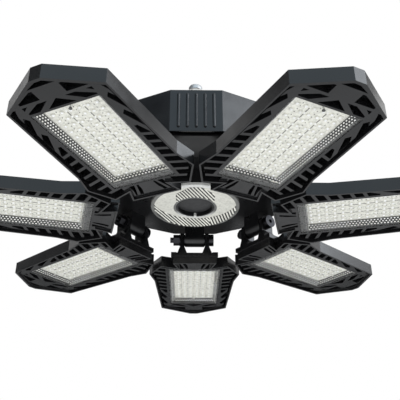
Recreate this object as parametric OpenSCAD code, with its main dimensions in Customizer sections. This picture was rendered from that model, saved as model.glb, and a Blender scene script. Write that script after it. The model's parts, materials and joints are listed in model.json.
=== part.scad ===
// Deformable garage light: folding lamp panels around a driver housing with a screw base.
// The origin is on the lamp axis, at the collar that the screw base rises from.
// +Z points up, into the lamp socket. The first panel points along +Y.

/* [Lamp] */
// Number of folding panels
panel_count = 7; // [5:1:7]
// Distance from the lamp axis to each hinge axis
hinge_radius = 83.3; // [83:0.1:90]
// Depth of the hinge axis below the underside of the hub plate
hinge_drop = 14; // [12:0.5:20]
// Radial clearance of a bolt in the parts that it passes through
bolt_clearance = 0.08; // [0.04:0.01:0.1]
// Clearance around a piece that is laid into a seat
seat_clearance = 0.2; // [0.1:0.05:0.4]

/* [Panel outline] */
// Length of a panel from its inner edge to its tip
panel_length = 165.9; // [150:0.1:190]
// Height of the side walls
panel_height = 12; // [10:0.5:16]
// Half width at the inner edge
mouth_half_width = 23.4; // [22:0.1:26]
// Distance from the inner edge to the bottom of the notch beside the hinge
notch_depth = 14.2; // [12:0.1:17]
// Half width at the bottom of the notch
notch_half_width = 18.9; // [17:0.1:21]
// Distance from the inner edge to the corner of the wing
wing_distance = 7.8; // [5:0.1:10]
// Half width at the corner of the wing
wing_half_width = 36; // [33:0.5:37]
// Distance from the inner edge to the shoulder
shoulder_distance = 31.1; // [28:0.1:36]
// Half width at the shoulder, the widest place
shoulder_half_width = 50; // [46:0.5:50]
// Distance from the inner edge to the end of the shoulder's slope
waist_distance = 51.7; // [45:0.1:58]
// Half width at the end of the shoulder's slope
waist_half_width = 45.2; // [42:0.1:49]
// Half width where the pointed tip begins
far_half_width = 40.8; // [38:0.1:45]
// Length of the pointed tip
tip_length = 21.8; // [19:0.1:26]
// Half width of the flat at the end of the tip
tip_half_width = 4.6; // [3:0.1:8]

/* [Panel lattice] */
// Width of the rim that stands out along the sides of the panel
rim_width = 1.6; // [1.2:0.1:3]
// Width of that rim around the pointed tip
tip_rim_width = 2.5; // [1.2:0.1:3]
// Depth of the lattice and the lens behind the rim
lattice_recess = 2; // [1:0.1:3]
// Width of the gap between the free ends of the ribs and the rim
rib_end_gap = 2.1; // [0.6:0.1:3]
// Thickness of the back wall
back_thickness = 2.2; // [1.6:0.1:3]
// Width of a lattice rib, measured along the panel
rib_width = 3.3; // [2:0.1:4.5]
// Distance between lattice ribs
rib_pitch = 10.55; // [8:0.05:14]
// Distance from the inner edge to the foot of the first rib
first_rib = 19; // [18:0.1:21]
// Distance from the foot of the last leaning rib to the start of the tip
long_pocket_run = 61.8; // [60:0.1:70]
// Lean of the ribs towards the hinge, in degrees
rib_lean = 18.8; // [5:0.2:30]
// Length of the two long pockets at each side, next to the tip
long_pocket = 15.5; // [12:0.5:17]
// Distance between the two long pockets
long_pocket_pitch = 20.5; // [19.5:0.5:22]
// Width of the grooves in the back of the panel
groove_width = 3.6; // [2:0.1:5]
// Distance between those grooves
groove_pitch = 7.2; // [6:0.1:10]
// Depth of those grooves
groove_depth = 0.9; // [0.4:0.1:1.2]

/* [Panel lens and LED board] */
// Distance from the inner edge to the lens
lens_start = 22.1; // [21:0.1:25]
// Distance from the far end of the lens to the tip
lens_tip_gap = 33.3; // [32:0.1:38]
// Half width of the lens
lens_half_width = 28.8; // [25:0.1:30]
// Thickness of the lens
lens_thickness = 1.8; // [1:0.1:2.5]
// Thickness of the skirt around the lens
skirt_thickness = 3; // [1.5:0.1:4]
// Width of the bar between the lens and the side pockets
bezel_width = 3.2; // [2.5:0.1:4]
// Width of the bars at the two ends of the lens
end_bezel_width = 2.2; // [1.5:0.1:3]
// Thickness of an LED board
board_thickness = 1.4; // [1:0.1:2]
// Distance between LEDs
led_pitch = 7.4; // [6:0.1:12]
// Width of one LED
led_size = 2.8; // [2:0.1:3.5]
// Height of one LED
led_height = 0.7; // [0.4:0.1:1.2]

/* [Hinge] */
// Distance from the panel's inner edge to the hinge axis
hinge_inset = 6.3; // [6:0.1:8]
// Height of the hinge axis above the front of the panel
hinge_height = 30.2; // [28:0.1:36]
// Radius of the round ends of the lugs and tongues
hinge_eye_radius = 7.5; // [6:0.1:8]
// Half width of a tongue of the hub
tongue_half_width = 10.5; // [8:0.1:10.8]
// Gap beside the tongue, which a friction washer fills
washer_gap = 0.8; // [0.5:0.1:1.2]
// Running gap between a friction washer and the tongue
friction_gap = 0.1; // [0.05:0.05:0.2]
// Thickness of a lug
lug_thickness = 4.3; // [3.5:0.1:5]
// Height of the flared foot of a lug
lug_flare_height = 8; // [5:0.5:9]
// Width of that flare at each side
lug_flare_width = 3; // [1.5:0.1:3.5]
// Diameter of the hinge bolt
bolt_diameter = 6; // [5:0.5:7]
// Diameter of the bolt's round head
bolt_head_diameter = 13; // [11:0.5:14]
// Height of the bolt's head
bolt_head_height = 4.2; // [3:0.1:5]
// Width of the lock nut across its flats
nut_across_flats = 10.4; // [9:0.1:12]
// Height of the lock nut
nut_height = 6.6; // [5:0.1:8]
// Length of bolt that stands out of the nut
bolt_tail = 3.5; // [1:0.5:5]
// Thickness of the plain washers
washer_thickness = 1; // [0.8:0.1:1.2]
// Half width of the hinge block across the back of the panel
block_half_width = 25.3; // [24.5:0.1:27]
// Depth of the hinge block
block_depth = 14; // [13.8:0.1:15]
// Height of the corner posts above the hinge block
post_height = 0.7; // [0.3:0.1:1.5]
// Width of the corner posts
post_width = 6; // [3:0.5:6]

/* [Hub plate and housing] */
// Distance from the axis to the sides of the hub plate
plate_apothem = 95.3; // [94:0.1:96]
// Thickness of the hub plate
plate_thickness = 3; // [2:0.1:4]
// Height that the hub plate stands out of the housing
plate_proud = 1.9; // [1:0.1:2.5]
// Distance from the axis to the sides of the housing
housing_apothem = 100; // [99:0.5:101]
// Height of the housing
housing_height = 44.1; // [42:0.1:60]
// Wall of the housing
housing_wall = 1.7; // [1.2:0.1:2.5]
// Width of the flange inside the top of the housing
flange_width = 22; // [20:1:26]
// Distance between the housing's ribs
housing_rib_pitch = 7.7; // [6:0.1:8]
// Number of ribs on each ribbed side
housing_rib_count = 5; // [3:2:5]
// Radius of those half-round ribs
housing_rib_radius = 1.3; // [0.9:0.1:1.6]
// Height that the ribs stand out of the side
housing_rib_relief = 1.4; // [0.8:0.1:1.5]
// Bare height left above and below the ribs
housing_rib_margin = 3.7; // [2:0.1:6]

/* [Cover and neck] */
// Diameter of the neck where it leaves the cover
neck_base_diameter = 47; // [44:1:52]
// Diameter of the neck's shoulder
neck_shoulder_diameter = 38; // [36:1:42]
// Height of the neck
neck_height = 34; // [28:1:40]
// Height that the cover rises from its rim to the neck
cover_rise = 24; // [18:1:28]
// Wall of the cover and thickness of its rim
cover_wall = 2.2; // [1.6:0.1:3]
// Distance from the cover's rim to the side of the housing
cover_setback = 3; // [2:0.1:5]
// Number of screws that hold the cover and the housing to the hub plate
cover_screw_count = 4; // [3:1:6]
// Diameter of those screws
cover_screw_diameter = 4; // [3:0.5:5]
// Length of those screws under their heads
cover_screw_length = 14; // [10:1:20]
// Diameter of the pillars that the screws enter
pillar_diameter = 10; // [9:0.5:12]
// Clearance between the pillars and the wall of the housing
pillar_clearance = 7.3; // [5:0.1:9]

/* [Screw base] */
// Diameter of the threaded shell
shell_diameter = 26.2; // [25:0.1:27]
// Height of the threaded shell
shell_height = 16; // [14:0.5:20]
// Wall of the shell
shell_wall = 0.8; // [0.5:0.1:1.2]
// Height of the insulator
insulator_height = 6; // [4:0.5:8]
// Diameter of the contact
contact_diameter = 14.7; // [9:0.1:16]
// Height of the contact
contact_height = 5; // [2:0.5:5]

/* [Ring lamp] */
// Outer diameter of the ring lens
ring_diameter = 86.6; // [80:0.2:94]
// Diameter of the hole in the ring lens
ring_hole_diameter = 37.2; // [32:0.2:42]
// Distance from the underside of the hub plate to the front of the ring lens
ring_drop = 18.5; // [16:0.5:24]
// Thickness of the ring lens
ring_lens_thickness = 1.8; // [1:0.1:2.5]
// Height of the side wall of the ring lens
ring_lens_side = 3.4; // [2.5:0.1:5]
// Wall of the ring lamp's body
ring_wall = 1.6; // [1.2:0.1:2.5]
// Distance from the ring lens to its LED board
ring_led_distance = 9; // [6:0.5:10]
// Depth of the cap behind the front of the ring lens
cap_depth = 4; // [2.5:0.1:6]
// Thickness of the cap
cap_thickness = 2; // [1.5:0.1:3]

/* [Driver] */
// Diameter of the driver board
driver_board_diameter = 120; // [100:1:130]
// Height of the driver board above the hub plate
driver_board_lift = 12; // [8:0.5:14]
// Radius of the circle of the driver board's screws
driver_screw_radius = 50; // [46:0.5:52]
// Side of the transformer
transformer_size = 24; // [18:0.5:26]
// Diameter of a capacitor
capacitor_diameter = 14; // [10:0.5:16]
// Height of a capacitor
capacitor_height = 20; // [14:0.5:22]
// Gap between a capacitor and the corner of the transformer
capacitor_gap = 6; // [2:0.5:12]
// Diameter of the screws of the driver board and the ring lamp
board_screw_diameter = 3; // [2.5:0.1:3.5]
// Length of the driver board's screws under their heads
board_screw_length = 8; // [6:0.5:9]

/* [Hidden] */
panel_kinds = ["panel_frame", "panel_lens", "led_board", "hinge_bolt", "hinge_nut", "hinge_washers"];

sliver = 0.01;
first_azimuth = 90;
panel_step = 360 / panel_count;
hub_sides = 2 * panel_count;
round_fn = 96;
small_fn = 32;

// Heights, from the collar at z = 0 downwards
cover_top_z = -neck_height;
cover_rim_z = cover_top_z - cover_rise;
housing_top_z = cover_rim_z - cover_wall;
housing_bottom_z = housing_top_z - housing_height;
plate_bottom_z = housing_bottom_z - plate_proud;
plate_top_z = plate_bottom_z + plate_thickness;
hinge_z = plate_bottom_z - hinge_drop;
panel_front_z = hinge_z - hinge_height;

// Cover screws, in the pillars just inside the wall of the housing
cover_screw_radius = housing_apothem - housing_wall - pillar_clearance - pillar_diameter / 2;
cover_screw_start = first_azimuth + 180 / cover_screw_count;

// Panel, in its own frame: x along the panel, y across it, z up from the front of the rim
far_distance = panel_length - tip_length;
lens_end = panel_length - lens_tip_gap;
panel_floor = panel_height - back_thickness;
pocket_start = lens_half_width + bezel_width;
inner_bar = lens_start - end_bezel_width;
outer_bar = lens_end + end_bezel_width;
cross_bar_start = far_distance - 1.1;
cross_bar_end = far_distance + 1.6;
lug_inner = tongue_half_width + washer_gap;
lug_outer = lug_inner + lug_thickness;
nut_seat = lug_outer + washer_thickness;
bolt_hole_radius = bolt_diameter / 2 + bolt_clearance;
lens_plan = [lens_end - lens_start, 2 * lens_half_width];
skirt_inset = skirt_thickness + 2 * seat_clearance;
board_plan = [lens_plan.x - 2 * skirt_inset, lens_plan.y - 2 * skirt_inset];
board_bottom = panel_floor - board_thickness;

// Half of the panel's outline, from the inner edge to the tip
half_outline = [
    [0, mouth_half_width],
    [notch_depth, notch_half_width],
    [wing_distance, wing_half_width],
    [shoulder_distance, shoulder_half_width],
    [waist_distance, waist_half_width],
    [far_distance, far_half_width],
    [panel_length, tip_half_width]];

// Both halves of that outline, counter-clockwise
outline = concat(
    [for (i = [0:len(half_outline) - 1]) [half_outline[i].x, -half_outline[i].y]],
    [for (i = [len(half_outline) - 1:-1:0]) half_outline[i]]);

// Width of the rim along each edge of the outline: the three edges of the tip are in its middle
rim_widths = [
    for (i = [0:len(outline) - 1])
        abs(i + 1 - len(half_outline)) <= 1 ? tip_rim_width : rim_width];

function unit(v) = v / norm(v);
function left(v) = [-v.y, v.x];

// A closed counter-clockwise outline, with each edge drawn in by its own distance
function inset(points, distances) = [
    for (i = [0:len(points) - 1])
        let (
            i_before = (i + len(points) - 1) % len(points),
            here = points[i],
            after = points[(i + 1) % len(points)],
            normal_in = left(unit(here - points[i_before])),
            normal_out = left(unit(after - here)),
            turn = normal_in * normal_out,
            in = distances[i_before],
            out = distances[i])
        here + (normal_in * (in - out * turn) + normal_out * (out - in * turn)) / (1 - turn * turn)];

// A regular polygon with its flats on the panels' azimuths
function hub_outline(apothem) = [
    for (k = [0:hub_sides - 1])
        let (a = first_azimuth + (k + 0.5) * 360 / hub_sides)
        [cos(a), sin(a)] * apothem / cos(180 / hub_sides)];

module both_sides() {
    children();
    mirror([0, 1, 0]) children();
}

module at_panel(i) {
    rotate([0, 0, first_azimuth + (i - 1) * panel_step])
        translate([hinge_radius - hinge_inset, 0, panel_front_z])
            children();
}

// A round bar across the panel, along the hinge axis, between two values of y
module across(from, to, radius, fn = small_fn) {
    translate([hinge_inset, to, hinge_height])
        rotate([90, 0, 0])
            cylinder(r = radius, h = to - from, $fn = fn);
}

/* Panel frame */

// Pockets between the leaning ribs, the long pockets and those of the tip, on one side
module side_pockets() {
    lean = tan(rib_lean);
    gap = rib_pitch - rib_width;
    reach = shoulder_half_width;
    ribs_end = far_distance - long_pocket_run;
    cells = floor((ribs_end - first_rib) / rib_pitch + 0.01);
    // the bay beside the notch, before the first rib
    polygon([
        [first_rib - rib_width / 2 + lean * 9, pocket_start - 9],
        [first_rib - rib_width / 2 - lean * 18, pocket_start + 18],
        [0, pocket_start + 18],
        [0, pocket_start - 9]]);
    for (k = [0:cells - 1]) {
        foot = first_rib + rib_width / 2 + k * rib_pitch;
        polygon([
            [foot, pocket_start],
            [foot + gap, pocket_start],
            [foot + gap - lean * (reach - pocket_start), reach],
            [foot - lean * (reach - pocket_start), reach]]);
    }
    // the last cell, cut off by the first long rib
    last = first_rib + rib_width / 2 + cells * rib_pitch;
    polygon([
        [last, pocket_start],
        [last + 9.5, pocket_start],
        [last + 9.5, pocket_start + 2.5],
        [last - 0.5, pocket_start + 7],
        [last - lean * 7, pocket_start + 7]]);
    for (k = [0:1])
        translate([far_distance - 53.6 + k * long_pocket_pitch, pocket_start])
            polygon([[0, 7.4], [long_pocket, 6.9], [long_pocket + 7, 3.2], [long_pocket + 3, 0.2]]);
    polygon([
        [cross_bar_start - 11, pocket_start + 6.8],
        [cross_bar_start, pocket_start + 7.5],
        [cross_bar_start, pocket_start + 2.5]]);
}

// Pockets on one side of the braced tip
module tip_pockets() {
    polygon([[outer_bar, 19], [cross_bar_start, 7.5], [cross_bar_start, 15.5], [outer_bar + 1.5, 28],
        [outer_bar, 28]]);
    polygon([[cross_bar_start - 3.5, 28.7], [cross_bar_start, 24], [cross_bar_start, 28.7]]);
    polygon([[cross_bar_end, 11], [cross_bar_end + 9.3, 11], [cross_bar_end + 9.3, 13.5],
        [cross_bar_end + 1.8, 28], [cross_bar_end, 28]]);
}

// Curved slots on one side of the solid web at the hinge
module inner_slots() {
    polygon([[4.5, 10], [12, 7.6], [inner_bar, 7], [inner_bar, 8.7], [12, 11], [5, 13]]);
    polygon([[5, 16], [12, 13.5], [inner_bar, 11], [inner_bar, 15.8], [12, 16], [5, 17.5]]);
}

// The gap that leaves the outer ends of the ribs free, on one side
module rib_gap() {
    difference() {
        translate([wing_distance, pocket_start])
            square([cross_bar_start - wing_distance, shoulder_half_width - pocket_start]);
        polygon(inset(outline, [for (width = rim_widths) width + rib_end_gap]));
    }
}

module pockets() {
    intersection() {
        polygon(inset(outline, rim_widths));
        union() {
            both_sides() {
                side_pockets();
                rib_gap();
                tip_pockets();
                inner_slots();
            }
            polygon([[outer_bar, -11.5], [cross_bar_start, 0], [outer_bar, 11.5]]);
            polygon([[panel_length - 8.6, -13], [panel_length - 4.1, -3], [panel_length - 4.1, 3],
                [panel_length - 8.6, 13]]);
        }
    }
}

module back_grooves() {
    count = floor((2 * lens_half_width - groove_width) / groove_pitch / 2);
    for (k = [-count:count])
        translate([lens_start + 4, k * groove_pitch - groove_width / 2])
            square([lens_plan.x - 8, groove_width]);
}

// The two lugs: a front profile and a side profile, crossed
module lugs() {
    intersection() {
        both_sides()
            translate([hinge_inset - hinge_eye_radius, 0, 0])
                rotate([90, 0, 90])
                    linear_extrude(2 * hinge_eye_radius)
                        polygon([
                            [lug_inner - lug_flare_width, panel_floor],
                            [lug_outer + lug_flare_width, panel_floor],
                            [lug_outer + lug_flare_width, panel_height],
                            [lug_outer, panel_height + lug_flare_height],
                            [lug_outer, hinge_height + hinge_eye_radius],
                            [lug_inner, hinge_height + hinge_eye_radius],
                            [lug_inner, panel_height + lug_flare_height],
                            [lug_inner - lug_flare_width, panel_height]]);
        translate([0, block_half_width, 0])
            rotate([90, 0, 0])
                linear_extrude(2 * block_half_width)
                    union() {
                        translate([hinge_inset, hinge_height])
                            circle(r = hinge_eye_radius, $fn = small_fn);
                        translate([hinge_inset - hinge_eye_radius, 0])
                            square([2 * hinge_eye_radius, hinge_height]);
                    }
    }
}

module panel_frame() {
    color([0.13, 0.13, 0.14])
        difference() {
            union() {
                linear_extrude(panel_height)
                    polygon(outline);
                // hinge block and its corner posts
                translate([hinge_inset - hinge_eye_radius, -block_half_width, panel_height - 4])
                    cube([block_depth, 2 * block_half_width, 4]);
                both_sides()
                    translate([hinge_inset - hinge_eye_radius, block_half_width - post_width, panel_height - 1])
                        cube([post_width, post_width, 1 + post_height]);
                lugs();
            }
            translate([0, 0, -sliver])
                linear_extrude(lattice_recess + sliver)
                    polygon(inset(outline, rim_widths));
            translate([0, 0, lattice_recess - sliver])
                linear_extrude(panel_floor - lattice_recess + sliver)
                    pockets();
            translate([lens_start - seat_clearance, -lens_half_width - seat_clearance, lattice_recess - sliver])
                cube([lens_plan.x + 2 * seat_clearance, lens_plan.y + 2 * seat_clearance,
                    panel_floor - lattice_recess + sliver]);
            translate([0, 0, panel_height - groove_depth])
                linear_extrude(groove_depth + sliver)
                    back_grooves();
            across(-block_half_width, block_half_width, bolt_hole_radius);
        }
}

/* Pieces that the panel frame carries */

module panel_lens() {
    color([0.86, 0.87, 0.84, 0.75])
        difference() {
            translate([lens_start, -lens_half_width, lattice_recess])
                cube([lens_plan.x, lens_plan.y, panel_floor - lattice_recess]);
            translate([lens_start + skirt_thickness, -lens_half_width + skirt_thickness,
                    lattice_recess + lens_thickness])
                cube([lens_plan.x - 2 * skirt_thickness, lens_plan.y - 2 * skirt_thickness, panel_height]);
        }
}

module led_board() {
    columns = floor((board_plan.x - led_size) / led_pitch);
    rows = floor((board_plan.y - led_size) / led_pitch);
    centre_x = (lens_start + lens_end) / 2;
    color([0.95, 0.94, 0.86]) {
        translate([centre_x - board_plan.x / 2, -board_plan.y / 2, board_bottom])
            cube([board_plan.x, board_plan.y, board_thickness]);
        translate([centre_x, 0, board_bottom - led_height])
            linear_extrude(led_height)
                for (i = [0:columns - 1], j = [0:rows - 1])
                    translate([(i - (columns - 1) / 2) * led_pitch, (j - (rows - 1) / 2) * led_pitch])
                        square(led_size, center = true);
    }
}

module hinge_bolt() {
    color([0.16, 0.16, 0.17]) {
        across(-nut_seat - sliver, nut_seat + nut_height + bolt_tail, bolt_diameter / 2);
        difference() {
            across(-nut_seat - bolt_head_height, -nut_seat, bolt_head_diameter / 2);
            // hexagon socket
            translate([hinge_inset, -nut_seat - bolt_head_height + 2.4, hinge_height])
                rotate([90, 0, 0])
                    cylinder(d = 4.6, h = 3, $fn = 6);
        }
    }
}

module hinge_nut() {
    color([0.12, 0.12, 0.13])
        difference() {
            across(nut_seat, nut_seat + nut_height, nut_across_flats / 2 / cos(30), 6);
            across(nut_seat - 1, nut_seat + nut_height + 1, bolt_hole_radius);
        }
}

module ring_washer(from, to, radius) {
    difference() {
        across(from, to, radius);
        across(from - 1, to + 1, bolt_hole_radius);
    }
}

module hinge_washers() {
    color([0.2, 0.2, 0.21]) {
        both_sides()
            ring_washer(lug_inner - washer_gap + friction_gap, lug_inner, hinge_eye_radius - 1);
        ring_washer(lug_outer, nut_seat, hinge_eye_radius - 1);
        mirror([0, 1, 0])
            ring_washer(lug_outer, nut_seat, hinge_eye_radius - 1);
    }
}

/* Hub plate and housing */

module around(count, radius, start = 0) {
    for (k = [0:count - 1])
        rotate([0, 0, start + k * 360 / count])
            translate([radius, 0, 0])
                children();
}

// A tongue that hangs from the hub plate, with its eye
module tongue() {
    translate([0, tongue_half_width, 0])
        rotate([90, 0, 0])
            linear_extrude(2 * tongue_half_width)
                union() {
                    circle(r = hinge_eye_radius, $fn = small_fn);
                    translate([-hinge_eye_radius, 0])
                        square([2 * hinge_eye_radius, hinge_drop + 1]);
                }
}

module hub_plate() {
    pillar_height = housing_top_z - cover_wall - plate_top_z;
    color([0.14, 0.14, 0.15])
        difference() {
            union() {
                translate([0, 0, plate_bottom_z])
                    linear_extrude(plate_thickness)
                        polygon(hub_outline(plate_apothem));
                translate([0, 0, hinge_z])
                    around(panel_count, hinge_radius, first_azimuth)
                        tongue();
                translate([0, 0, plate_top_z - 1])
                    around(cover_screw_count, cover_screw_radius, cover_screw_start)
                        cylinder(d = pillar_diameter, h = pillar_height + 1, $fn = small_fn);
                translate([0, 0, plate_top_z - 1])
                    around(4, driver_screw_radius)
                        cylinder(d = board_screw_diameter + 4, h = driver_board_lift + 1, $fn = small_fn);
            }
            translate([0, 0, hinge_z])
                around(panel_count, hinge_radius, first_azimuth)
                    rotate([90, 0, 0])
                        cylinder(r = bolt_hole_radius, h = 3 * tongue_half_width, center = true, $fn = small_fn);
            translate([0, 0, housing_top_z - 14])
                around(cover_screw_count, cover_screw_radius, cover_screw_start)
                    cylinder(d = cover_screw_diameter, h = 20, $fn = small_fn);
            translate([0, 0, plate_top_z + driver_board_lift - 8])
                around(4, driver_screw_radius)
                    cylinder(d = board_screw_diameter, h = 10, $fn = small_fn);
            translate([0, 0, plate_bottom_z - 1])
                around(3, ring_screw_radius, first_azimuth)
                    cylinder(d = board_screw_diameter + 0.3, h = plate_thickness + 2, $fn = small_fn);
        }
}

// The five half-round ribs of one side, with round ends
module housing_ribs() {
    length = housing_height - 2 * (housing_rib_margin + housing_rib_radius);
    depth = housing_apothem + housing_rib_relief - housing_rib_radius;
    half = (housing_rib_count - 1) / 2;
    for (k = [-half:half])
        translate([depth, k * housing_rib_pitch, housing_bottom_z + housing_rib_margin + housing_rib_radius]) {
            cylinder(r = housing_rib_radius, h = length, $fn = small_fn);
            sphere(r = housing_rib_radius, $fn = small_fn);
            translate([0, 0, length])
                sphere(r = housing_rib_radius, $fn = small_fn);
        }
}

module driver_housing() {
    color([0.17, 0.18, 0.2])
        difference() {
            union() {
                translate([0, 0, housing_bottom_z])
                    linear_extrude(housing_height)
                        polygon(hub_outline(housing_apothem));
                around(panel_count, 0, first_azimuth + panel_step / 2)
                    housing_ribs();
            }
            translate([0, 0, housing_bottom_z - sliver])
                linear_extrude(housing_height - cover_wall + sliver)
                    polygon(hub_outline(housing_apothem - housing_wall));
            translate([0, 0, housing_top_z - 2 * cover_wall])
                cylinder(r = housing_apothem - flange_width, h = 3 * cover_wall, $fn = round_fn);
            translate([0, 0, housing_top_z - 2 * cover_wall])
                around(cover_screw_count, cover_screw_radius, cover_screw_start)
                    cylinder(d = cover_screw_diameter + 0.4, h = 3 * cover_wall, $fn = small_fn);
        }
}

/* Cover, neck and screw base */

module top_cover() {
    rim = housing_apothem - cover_setback;
    neck = neck_base_diameter / 2;
    cone_foot = cover_screw_radius - cover_screw_diameter - 2;
    color([0.14, 0.14, 0.15])
        difference() {
            rotate_extrude($fn = round_fn)
                polygon([
                    [cone_foot - cover_wall, housing_top_z],
                    [rim, housing_top_z],
                    [rim, cover_rim_z],
                    [cone_foot, cover_rim_z],
                    [neck + 6, cover_top_z - 3],
                    [neck, cover_top_z],
                    [neck - 8, cover_top_z],
                    [neck - 8, cover_top_z - cover_wall],
                    [neck - 1, cover_top_z - cover_wall],
                    [neck + 5, cover_top_z - 3 - cover_wall]]);
            translate([0, 0, housing_top_z - 1])
                around(cover_screw_count, cover_screw_radius, cover_screw_start)
                    cylinder(d = cover_screw_diameter + 0.4, h = cover_wall + 2, $fn = small_fn);
        }
}

// A pan-head screw that points down from z = 0
module screw(diameter, length) {
    translate([0, 0, -length])
        cylinder(d = diameter, h = length + sliver, $fn = small_fn);
    difference() {
        cylinder(d1 = 2 * diameter, d2 = 1.6 * diameter, h = 0.6 * diameter, $fn = small_fn);
        for (turn = [0, 90])
            rotate([0, 0, turn])
                translate([-0.5 * diameter, -0.1 * diameter, 0.3 * diameter])
                    cube([diameter, 0.2 * diameter, diameter]);
    }
}

module cover_screws() {
    color([0.6, 0.6, 0.62])
        translate([0, 0, cover_rim_z])
            around(cover_screw_count, cover_screw_radius, cover_screw_start)
                screw(cover_screw_diameter - 0.1, cover_screw_length);
}

module neck() {
    base = neck_base_diameter / 2;
    shoulder = neck_shoulder_diameter / 2;
    bore = shell_diameter / 2 - 3;
    color([0.1, 0.1, 0.11])
        rotate_extrude($fn = round_fn)
            polygon([
                [bore, cover_top_z],
                [base - 1, cover_top_z],
                [base - 1, cover_top_z + 4],
                [shoulder + 1, cover_top_z + 9],
                [shoulder, -5],
                [shoulder - 1.2, -1.2],
                [shoulder - 4, 0],
                [bore, 0]]);
}

module screw_shell() {
    color([0.78, 0.78, 0.76])
        difference() {
            cylinder(d = shell_diameter, h = shell_height, $fn = round_fn);
            translate([0, 0, -1])
                cylinder(d = shell_diameter - 2 * shell_wall, h = shell_height - shell_wall + 1, $fn = round_fn);
        }
}

module insulator() {
    color([0.08, 0.08, 0.09])
        translate([0, 0, shell_height])
            cylinder(r1 = shell_diameter / 2 - shell_wall, r2 = contact_diameter / 2, h = insulator_height,
                $fn = round_fn);
}

module contact() {
    radius = contact_diameter / 2;
    color([0.75, 0.75, 0.73])
        translate([0, 0, shell_height + insulator_height])
            rotate_extrude($fn = round_fn)
                polygon(concat(
                    [[0, 0]],
                    [for (a = [0:10:90]) [radius * cos(a), contact_height * sin(a)]]));
}

/* Ring lamp */

ring_front_z = plate_bottom_z - ring_drop;
ring_side_top_z = ring_front_z + ring_lens_side;
ring_board_z = ring_front_z + ring_led_distance;
ring_radius = ring_diameter / 2;
hole_radius = ring_hole_diameter / 2;
tube_outer = hole_radius - seat_clearance;
tube_inner = tube_outer - ring_wall;
cap_z = ring_front_z + cap_depth;
ring_screw_radius = ring_radius - 9;

module ring_body() {
    color([0.12, 0.12, 0.13])
        difference() {
            union() {
                translate([0, 0, ring_side_top_z])
                    cylinder(r = ring_radius, h = plate_bottom_z - ring_side_top_z, $fn = round_fn);
                translate([0, 0, ring_front_z])
                    cylinder(r = tube_outer, h = ring_drop, $fn = round_fn);
            }
            difference() {
                translate([0, 0, ring_side_top_z - sliver])
                    cylinder(r = ring_radius - ring_wall, h = ring_board_z + board_thickness - ring_side_top_z
                        + sliver, $fn = round_fn);
                translate([0, 0, ring_front_z - 1])
                    cylinder(r = tube_outer, h = ring_drop, $fn = round_fn);
            }
            translate([0, 0, ring_front_z - sliver])
                cylinder(r = tube_inner, h = cap_depth + cap_thickness + sliver, $fn = round_fn);
            // notch for the clip of the ring lens
            translate([-1.5, 0, ring_front_z - sliver])
                cube([3, tube_outer + 1, 2.4]);
            translate([0, 0, plate_bottom_z - 5])
                around(3, ring_screw_radius, first_azimuth)
                    cylinder(d = board_screw_diameter, h = 6, $fn = small_fn);
        }
}

module ring_lens() {
    color([0.86, 0.87, 0.84, 0.75]) {
        rotate_extrude($fn = round_fn)
            polygon([
                [hole_radius, ring_front_z],
                [ring_radius - 0.8, ring_front_z],
                [ring_radius, ring_front_z + 0.8],
                [ring_radius, ring_side_top_z],
                [ring_radius - ring_wall, ring_side_top_z],
                [ring_radius - ring_wall, ring_front_z + ring_lens_thickness],
                [hole_radius, ring_front_z + ring_lens_thickness]]);
        translate([-1.2, tube_inner - 1, ring_front_z])
            cube([2.4, hole_radius - tube_inner + 1.4, ring_lens_thickness]);
    }
}

module ring_led_board() {
    board_outer = ring_radius - ring_wall - seat_clearance;
    board_inner = hole_radius + seat_clearance;
    led_circle = (board_outer + board_inner) / 2;
    leds = floor(360 * led_circle / 57.3 / led_pitch);
    color([0.95, 0.94, 0.86]) {
        translate([0, 0, ring_board_z])
            difference() {
                cylinder(r = board_outer, h = board_thickness, $fn = round_fn);
                translate([0, 0, -1])
                    cylinder(r = board_inner, h = board_thickness + 2, $fn = round_fn);
            }
        translate([0, 0, ring_board_z - led_height])
            linear_extrude(led_height)
                for (k = [0:leds - 1])
                    rotate(k * 360 / leds)
                        translate([led_circle, 0])
                            square(led_size, center = true);
    }
}

module ring_cap() {
    color([0.22, 0.22, 0.23])
        translate([0, 0, cap_z])
            cylinder(r = tube_inner - seat_clearance / 2, h = cap_thickness, $fn = round_fn);
}

// Screws from inside the housing, through the hub plate into the ring lamp
module ring_screws() {
    color([0.6, 0.6, 0.62])
        translate([0, 0, plate_top_z])
            around(3, ring_screw_radius, first_azimuth)
                screw(board_screw_diameter - 0.1, plate_thickness + 4.5);
}

/* Driver */

driver_board_z = plate_top_z + driver_board_lift;
driver_floor_z = driver_board_z + 1.6;

module driver_board() {
    color([0.1, 0.35, 0.16])
        translate([0, 0, driver_board_z])
            difference() {
                cylinder(d = driver_board_diameter, h = 1.6, $fn = round_fn);
                translate([0, 0, -1])
                    around(4, driver_screw_radius)
                        cylinder(d = board_screw_diameter + 0.4, h = 4, $fn = small_fn);
            }
}

module driver_screws() {
    color([0.6, 0.6, 0.62])
        translate([0, 0, driver_floor_z])
            around(4, driver_screw_radius)
                screw(board_screw_diameter - 0.1, board_screw_length);
}

module transformer() {
    color([0.75, 0.65, 0.2])
        translate([-transformer_size / 2, -transformer_size / 2, driver_floor_z])
            difference() {
                cube([transformer_size, transformer_size, 0.8 * transformer_size]);
                // the winding window, open at two sides
                translate([0.2 * transformer_size, -1, 0.2 * transformer_size])
                    cube([0.6 * transformer_size, 0.2 * transformer_size, 0.4 * transformer_size]);
            }
}

module capacitors() {
    color([0.1, 0.1, 0.3])
        translate([0, 0, driver_floor_z])
            around(2, transformer_size / sqrt(2) + capacitor_gap + capacitor_diameter / 2, 45)
                cylinder(d = capacitor_diameter, h = capacitor_height, $fn = small_fn);
}

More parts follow.
